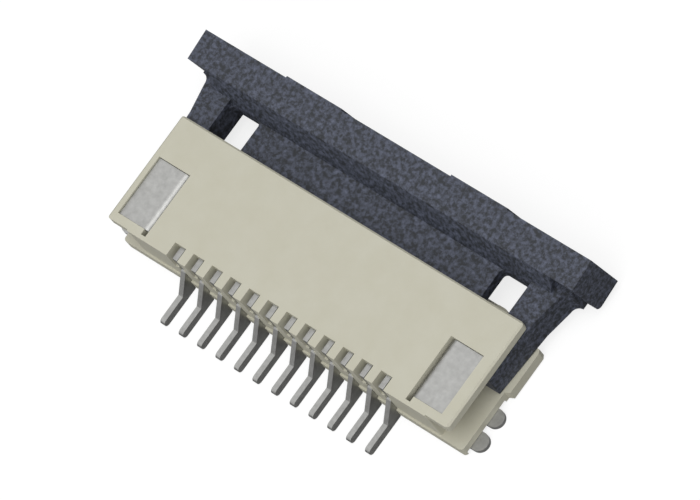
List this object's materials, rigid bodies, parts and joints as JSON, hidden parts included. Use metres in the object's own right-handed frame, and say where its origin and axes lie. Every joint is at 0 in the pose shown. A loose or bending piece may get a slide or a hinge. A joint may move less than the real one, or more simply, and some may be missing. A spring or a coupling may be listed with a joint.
{
  "type": "fpc connector",
  "caption": "Board connector for a flat flexible cable, right-angle, solder tails in one row at the rear and a slide lock drawn out at the front.",
  "frame": {"origin": "centre of the part's box, on the board's surface, with the slider drawn out", "axes": "+X along the row of contacts, +Y toward the cable side and the way the slider pulls out, +Z away from the board"},
  "size_m": [0.0204, 0.0109, 0.0032],
  "materials": {
    "housing_plastic": "ivory heat-resistant moulding, satin",
    "slider_plastic": "black glass-filled moulding, speckled",
    "contact_tin": "copper alloy strip, tin plated",
    "nail_tin": "copper alloy sheet, matt tin plated"
  },
  "bodies": {
    "base": {"housing": "housing_plastic", "contact_01": "contact_tin", "contact_02": "contact_tin", "contact_03": "contact_tin", "contact_04": "contact_tin", "contact_05": "contact_tin", "contact_06": "contact_tin", "contact_07": "contact_tin", "contact_08": "contact_tin", "contact_09": "contact_tin", "contact_10": "contact_tin", "contact_11": "contact_tin", "contact_12": "contact_tin", "fitting_nail_left": "nail_tin", "fitting_nail_right": "nail_tin"},
    "lock": {"slider": "slider_plastic"}
  },
  "joints": [
    {"name": "slider_slide", "type": "slide", "parent": "base", "child": "lock", "axis": [0, 1, 0], "range_m": [-0.00155, 0]}
  ]
}
